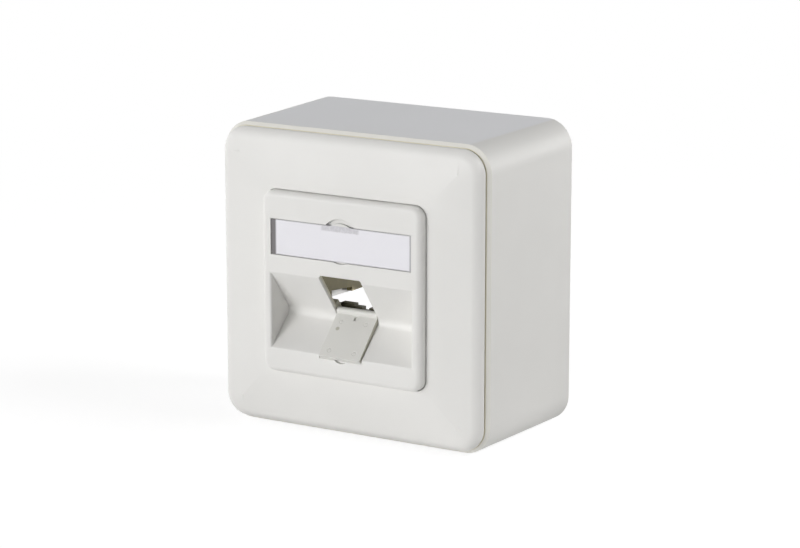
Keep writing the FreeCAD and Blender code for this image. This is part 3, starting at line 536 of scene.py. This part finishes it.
def plated(name, tint, sizes, gloss=0.34):
    """Plated or bare metal: rolled grain along X under soft crystalline patches."""
    f = new_finish(name)
    place = f.place()
    lengthened = f.stretch(place, (0.25, 6.0, 6.0))
    rolled = f.noise(lengthened, scale=1.0, detail=3.0, rough=0.6)
    patch = f.node("ShaderNodeTexVoronoi", {"feature": "SMOOTH_F1"},
                   {"Vector": place, "Scale": 0.22, "Smoothness": 0.6}, out="Color")
    tone = f.axes(patch)[0]
    base = f.mix(tone * 0.5 + rolled * 0.3, rgba(tint), rgba(tint, gain=0.78))
    rough = rolled * 0.14 + tone * 0.10 + (gloss - 0.08)
    edge = f.soft_edge(sizes.edge * 0.7)
    normal = f.bump(rolled, ROLLED_HEIGHT, strength=0.8, normal=edge)
    return f.surface(Base_Color=base, Roughness=rough, Metallic=1.0, Normal=normal)


def cast(name, tint, front_shade, sizes):
    """Die cast metal: dull pebbled skin, with painted shade on the front bar, paler on the
    cheeks and with painted light on their outer rims. It is stained in patches of a darker
    tone."""
    f = new_finish(name)
    place = f.place()
    pebble = f.noise(place, scale=2.2, detail=4.0, rough=0.65)
    dark_tone = f.noise(place, scale=0.3, detail=3.0)
    side = f.axes(place)[0].abs()
    cheek, rim = side.step(*HOLDER_CHEEK), side.step(*HOLDER_LIT_RIM)
    tones = []
    for front_gain, cheek_gain, rim_gain in CAST_LIGHT_GAINS:
        inner = f.mix(cheek, rgba(front_shade, front_gain), rgba(tint, cheek_gain))
        tones.append(f.mix(rim, inner, rgba(tint, rim_gain)))
    clean, stained = tones
    base = f.mix(dark_tone.step(off=0.35, on=0.65) * 0.6 + pebble * 0.3, clean, stained)
    rough = pebble * 0.18 + 0.36
    normal = f.bump(pebble, PEBBLE_HEIGHT, strength=0.8,
                    normal=f.soft_edge(sizes.edge))
    return f.surface(Base_Color=base, Roughness=rough, Metallic=0.5, Normal=normal)


# ---------------------------------------------------------------- meshes
def ringed_surface(rings):
    """Points and faces of a closed surface through rings of points. rings is (count,
    around, 3): point (u, v) is ring u at angle v, and the first and last ring shrink to
    one point each."""
    count, around, _ = rings.shape
    points = np.vstack([rings[0, :1], rings[1:-1].reshape(-1, 3), rings[-1, :1]])
    v = np.arange(around)
    after = (v + 1) % around
    last = len(points) - 1
    start = np.stack([np.zeros(around, int), 1 + after, 1 + v], axis=1)
    row = 1 + np.arange(count - 3)[:, None] * around
    quads = np.stack([row + v, row + after, row + around + after, row + around + v],
                     axis=2).reshape(-1, 4)
    base = 1 + (count - 3) * around
    end = np.stack([base + v, base + after, np.full(around, last)], axis=1)
    return points, (start, quads, end)


def joined_piece(name, surfaces):
    """One smooth object at the origin from several surfaces of points and faces."""
    points, faces, base = [], [], 0
    for corners, sheets in surfaces:
        points.append(corners)
        for sheet in sheets:
            faces += (sheet + base).tolist()
        base += len(corners)
    mesh = bpy.data.meshes.new(name)
    mesh.from_pydata(np.vstack(points).tolist(), [], faces)
    mesh.update()
    mesh.polygons.foreach_set("use_smooth", np.ones(len(mesh.polygons), bool))
    mesh.set_sharp_from_angle(angle=SHARP_FROM)
    piece = bpy.data.objects.new(name, mesh)
    bpy.context.scene.collection.objects.link(piece)
    return piece


def smooth(low, high, value):
    t = np.clip((value - low) / (high - low), 0.0, 1.0)
    return t * t * (3 - 2 * t)


def drive_cross(x, z, head_radius):
    """1 inside a cross of two bars, 0 outside it, with eased ends and sides."""
    arm, side = 0.62 * head_radius, 0.13 * head_radius
    soft = 0.05 * head_radius

    def bar(along, across):
        return ((1 - smooth(arm - soft, arm, np.abs(along)))
                * (1 - smooth(side, side + soft, np.abs(across))))
    return np.maximum(bar(x, z), bar(z, x))


def screw(centre, seat, head_side, radius, head_radius, head_height, reach, sizes):
    """Pan head screw along Y.

    The outline runs from the point of the shank, up its side, out under the head, round
    the head's rim and over its dome to the axis. The radius of the shank is its outer
    radius less the thread's depth times a saw tooth of (height / pitch - angle / turn),
    and the dome sinks by the drive's depth inside a cross.
    """
    around, rings_per_turn, fewest_rings = 72, 7, 24
    under_rings, rim_rings, dome_rings = 3, 9, 29
    point_taper, crown_share, crown_inset, dome_share = 0.45, 0.45, 0.8, 0.06
    turn = np.linspace(0, 2 * np.pi, around, endpoint=False)[None, :]
    pitch = sizes.thread_pitch
    steps = max(fewest_rings, int(reach / pitch * rings_per_turn))
    shank_h = np.linspace(0, reach, steps)
    point_length = 1.2 * radius
    tip = 1 - smooth(0.0, point_length, shank_h)
    wave = np.abs(((shank_h[:, None] / pitch - turn / (2 * np.pi)) % 1.0) - 0.5) * 2
    fade = smooth(0.0, pitch, reach - shank_h)[:, None]
    shank_r = (radius * (1 - point_taper * tip)[:, None]
               - sizes.thread_depth * (1 - wave) * fade)
    rim = np.linspace(0, np.pi / 2, rim_rings)
    crown = crown_share * head_height
    rim_r = head_radius - crown * (1 - np.cos(rim)) * crown_inset
    rim_h = head_height - crown * (1 - np.sin(rim))
    dome_r = np.linspace(rim_r[-1], 0.0, dome_rings + 1)[1:]
    dome_h = head_height * (1 - dome_share * (dome_r / rim_r[-1]) ** 2)
    under_r = np.linspace(radius, head_radius, under_rings + 1)[1:]
    head_r = np.concatenate([under_r, rim_r, dome_r])[:, None]
    radii = np.vstack([np.zeros((1, around)), shank_r, np.repeat(head_r, around, 1)])
    heights = np.concatenate([[0.0], shank_h, np.full(under_rings, reach),
                              reach + rim_h, reach + dome_h])
    heights = np.repeat(heights[:, None], around, 1)
    x = radii * np.cos(turn)
    z = radii * np.sin(turn)
    sink = sizes.drive_depth * drive_cross(x, z, head_radius)
    heights[-dome_rings:] -= sink[-dome_rings:]
    y = seat - head_side * (heights - reach)
    rings = np.stack([centre[0] + x, y, centre[1] + z * head_side], axis=2)
    return ringed_surface(rings)


def screw_pair(node, sizes):
    """Screws that stand for a CAD node of plain ones: each takes its place, radii and
    lengths from the node's own solids.

    A node much wider than it is high holds two screws side by side. The points furthest
    from a screw's axis are the rim of its head, and the near ones belong to its shank.
    """
    side_by_side, head_rim, shank_reach = 2.5, 0.98, 0.8
    source = NODES[node].data
    flat = np.empty(len(source.vertices) * 3)
    source.vertices.foreach_get("co", flat)
    points = flat.reshape(-1, 3)
    centre_x = (points[:, 0].min() + points[:, 0].max()) / 2
    two = np.ptp(points[:, 0]) > side_by_side * np.ptp(points[:, 2])
    groups = ([points[points[:, 0] < centre_x], points[points[:, 0] > centre_x]]
              if two else [points])
    made = []
    for group in groups:
        low, high = group.min(axis=0), group.max(axis=0)
        cx, cz = (low[0] + high[0]) / 2, (low[2] + high[2]) / 2
        away = np.hypot(group[:, 0] - cx, group[:, 2] - cz)
        head_radius = away.max()
        head = group[away > head_rim * head_radius][:, 1]
        radius = away[away < shank_reach * head_radius].max()
        forward = abs(head.min() - low[1]) < abs(head.max() - high[1])
        head_side = 1.0 if forward else -1.0
        seat = head.max() if forward else head.min()
        reach = (high[1] - seat) if forward else (seat - low[1])
        made.append(screw((cx, cz), seat, head_side, radius, head_radius,
                          np.ptp(head), reach, sizes))
    return joined_piece(node + "_detail", made)


# ---------------------------------------------------------------- dressing
def dress(material, *nodes):
    """Gives a material to every slot of each named CAD node."""
    for node in nodes:
        piece = NODES[node]
        if not piece.material_slots:
            piece.data.materials.append(material)
        for slot in piece.material_slots:
            slot.material = material


def looks(context):
    scene = context.scene
    return scene.outlet_colours, scene.outlet_sizes, scene.outlet_stage


class OUTLET_OT_box(bpy.types.Operator):
    """Finish the moulded box, its brass inserts and the cable clamp"""
    bl_idname = "outlet.box"
    bl_label = "Box"

    def execute(self, context):
        tint, sizes, _ = looks(context)
        # Painted light on the box's top and front rim, and painted shade in its seam
        parts = ((top_face(), tint.top),
                 (front_rim("housing", RIM_CHAMFER), tint.rim),
                 (front_rim("housing", SEAM_DEPTH), tint.seam))
        dress(moulded("box_plastic", tint.box, sizes, 0.50, parts=parts), "housing")
        dress(plated("insert_brass", tint.brass, sizes, 0.30), "boss_inserts")
        dress(moulded("clamp_plastic", tint.clamp, sizes, 0.45), "cable_clamp")
        return {"FINISHED"}


class OUTLET_OT_covers(bpy.types.Operator):
    """Finish the cover frame and the centre plate"""
    bl_idname = "outlet.covers"
    bl_label = "Cover Frame and Centre Plate"

    def execute(self, context):
        tint, sizes, _ = looks(context)
        parts = ((port_depth(sizes), tint.shade),)
        dress(moulded("frame_plastic", tint.cover, sizes, 0.44), "cover_frame")
        dress(moulded("plate_plastic", tint.cover, sizes, 0.44, parts=parts),
              "centre_plate")
        return {"FINISHED"}


class OUTLET_OT_flap(bpy.types.Operator):
    """Finish the dust flap with its ejector marks, and its pin"""
    bl_idname = "outlet.flap"
    bl_label = "Dust Flap"

    def execute(self, context):
        tint, sizes, _ = looks(context)
        # The flap's right edge gets painted shade
        dress(moulded("flap_plastic", tint.flap, sizes, 0.40,
                      marks=ejector_marks(sizes),
                      parts=((flap_edge_shade(sizes), tint.dark_tone),)), "dust_flap")
        dress(plated("pin_steel", tint.zinc, sizes), "flap_pin")
        return {"FINISHED"}


class OUTLET_OT_label(bpy.types.Operator):
    """Finish the blank label card and its clear cover"""
    bl_idname = "outlet.label"
    bl_label = "Label and Window"

    def execute(self, context):
        tint, _, _ = looks(context)
        dress(paper("card_paper", tint.card), "label_card")
        dress(clear_plastic("clear_cover", tint.clear, tint.window_shade, tint.cover),
              "label_cover")
        return {"FINISHED"}


class OUTLET_OT_metal(bpy.types.Operator):
    """Finish the support frame, the module holder and the earth terminal"""
    bl_idname = "outlet.metal"
    bl_label = "Metal Parts"

    def execute(self, context):
        tint, sizes, _ = looks(context)
        dress(plated("support_zinc", tint.zinc, sizes), "support_frame", "earth_tab",
              "earth_clamp")
        dress(cast("holder_cast", tint.cast, tint.cast_front_shade, sizes), "module_holder")
        return {"FINISHED"}


class OUTLET_OT_screws(bpy.types.Operator):
    """Add threaded screws with crossed drives in place of the plain ones"""
    bl_idname = "outlet.screws"
    bl_label = "Screws"

    def execute(self, context):
        tint, sizes, _ = looks(context)
        steel = plated("screw_steel", tint.zinc, sizes, 0.28)
        for node in ("support_frame_screws", "centre_plate_screws",
                     "module_holder_screws", "cable_clamp_screws", "earth_screw"):
            piece = screw_pair(node, sizes)
            piece.data.materials.append(steel)
            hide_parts(node)
            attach(piece, "outlet")
        return {"FINISHED"}


# ---------------------------------------------------------------- stage
def aim(piece, place, target):
    line = Vector(target) - Vector(place)
    piece.location = place
    piece.rotation_euler = line.to_track_quat("-Z", "Y").to_euler()


def lamp(name, kind, place, target, power):
    """Adds a light aimed at a point, and returns it for the settings of its kind."""
    light = bpy.data.lights.new(name, kind)
    light.energy = power
    piece = bpy.data.objects.new(name, light)
    bpy.context.scene.collection.objects.link(piece)
    aim(piece, place, target)
    return light


def seen_directly(f):
    """1 for camera, glossy and transmission rays."""
    kinds = [f.node("ShaderNodeLightPath", out=kind)
             for kind in ("Is Camera Ray", "Is Glossy Ray", "Is Transmission Ray")]
    return kinds[0].max(kinds[1]).max(kinds[2])


def floor_material(ground):
    """White to the eye, with the object's own shadow left on it near the object. Other
    rays meet a plain floor that gives back some of its light."""
    shadow_share, glow_share = 0.30, 0.86
    f = new_finish("pale_floor")
    lit = f.node("ShaderNodeBsdfDiffuse", None, {"Color": grey(shadow_share)})
    glow = f.node("ShaderNodeEmission", None,
                  {"Color": grey(1.0), "Strength": glow_share})
    near = f.node("ShaderNodeAddShader", None, {0: lit, 1: glow})
    white = f.node("ShaderNodeEmission", None, {"Color": grey(1.0), "Strength": 1.0})
    x, y, _ = f.axes(f.place())
    far = ((x * x + y * y) ** 0.5).step(*FLOOR_FADE)
    shown = f.node("ShaderNodeMixShader", None, {0: far, 1: near, 2: white})
    plain = f.node("ShaderNodeBsdfDiffuse", None, {"Color": grey(ground)})
    mixed = f.node("ShaderNodeMixShader", None,
                   {0: seen_directly(f), 1: plain, 2: shown})
    f.node("ShaderNodeOutputMaterial", None, {"Surface": mixed})
    return f.owner


def pale_world(strength):
    """White where it is seen, and an even, slightly cool light to all other rays."""
    world = bpy.data.worlds.new("pale_sky")
    f = Finish(world)
    light = f.node("ShaderNodeBackground", None,
                   {"Color": (0.985, 0.99, 1.0, 1.0), "Strength": strength})
    white = f.node("ShaderNodeBackground", None,
                   {"Color": grey(1.0), "Strength": 1.0})
    mixed = f.node("ShaderNodeMixShader", None,
                   {0: seen_directly(f), 1: light, 2: white})
    f.node("ShaderNodeOutputWorld", None, {"Surface": mixed})
    bpy.context.scene.world = world


def add_floor(ground):
    """A wide floor just under the object."""
    side, z = FLOOR_REACH, CAD_BOX[0][2] - FLOOR_GAP
    mesh = bpy.data.meshes.new("floor")
    mesh.from_pydata([(-side, -side, z), (side, -side, z), (side, side, z),
                      (-side, side, z)], [], [(0, 1, 2, 3)])
    floor = bpy.data.objects.new("floor", mesh)
    bpy.context.scene.collection.objects.link(floor)
    mesh.materials.append(floor_material(ground))


def add_lights(stage):
    """The soft lights, and the small lamp whose narrow beam comes in through the back of
    the box."""
    for name, place, size in SOFT_LIGHTS:
        soft = lamp(name + "_light", "AREA", place, LIT_POINT, getattr(stage, name))
        soft.shape = "RECTANGLE"
        soft.size, soft.size_y = size
    beam = lamp("inner_light", "SPOT", INNER_LAMP, INNER_TARGET, stage.inner)
    beam.spot_size = INNER_CONE
    beam.spot_blend = 0.2
    beam.shadow_soft_size = 0.001


def add_camera(stage):
    """The camera, at its angles and distance from the point that it looks at."""
    camera = bpy.data.cameras.new("camera")
    camera.sensor_fit = "HORIZONTAL"
    camera.sensor_width = SENSOR_WIDTH
    camera.lens = stage.lens
    camera.clip_start, camera.clip_end = 0.01, 50.0
    piece = bpy.data.objects.new("camera", camera)
    scene = bpy.context.scene
    scene.collection.objects.link(piece)
    flat = math.cos(stage.elevation) * stage.distance
    away = Vector((math.sin(stage.azimuth) * flat, -math.cos(stage.azimuth) * flat,
                   math.sin(stage.elevation) * stage.distance))
    aim(piece, Vector(stage.target) + away, stage.target)
    scene.camera = piece


class OUTLET_OT_stage(bpy.types.Operator):
    """Add the floor, the lights and the camera"""
    bl_idname = "outlet.stage"
    bl_label = "Stage"

    def execute(self, context):
        stage = looks(context)[2]
        add_floor(stage.ground)
        pale_world(stage.sky)
        add_lights(stage)
        add_camera(stage)
        context.scene.view_settings.view_transform = "Standard"
        return {"FINISHED"}


class OUTLET_PT_sidebar(bpy.types.Panel):
    """Buttons and values of the outlet box"""
    bl_idname = "OUTLET_PT_sidebar"
    bl_label = "Outlet Box"
    bl_space_type = "VIEW_3D"
    bl_region_type = "UI"
    bl_category = "Outlet Box"

    def draw(self, context):
        for step in STEPS:
            self.layout.operator(step.bl_idname)
        for group in looks(context):
            box = self.layout.box()
            for name in group.__annotations__:
                box.prop(group, name)


STEPS = (OUTLET_OT_box, OUTLET_OT_covers, OUTLET_OT_flap, OUTLET_OT_label,
         OUTLET_OT_metal, OUTLET_OT_screws, OUTLET_OT_stage)
GROUPS = {"outlet_colours": OutletBoxColours, "outlet_sizes": OutletBoxSizes,
          "outlet_stage": OutletBoxStage}
CLASSES = tuple(GROUPS.values()) + STEPS + (OUTLET_PT_sidebar,)


def register():
    for kind in CLASSES:
        bpy.utils.register_class(kind)
    for name, kind in GROUPS.items():
        setattr(bpy.types.Scene, name, bpy.props.PointerProperty(type=kind))


def unregister():
    for name in GROUPS:
        delattr(bpy.types.Scene, name)
    for kind in reversed(CLASSES):
        bpy.utils.unregister_class(kind)


def main():
    register()
    for step in STEPS:
        group, name = step.bl_idname.split(".")
        getattr(getattr(bpy.ops, group), name)()


if __name__ == "__main__":
    main()
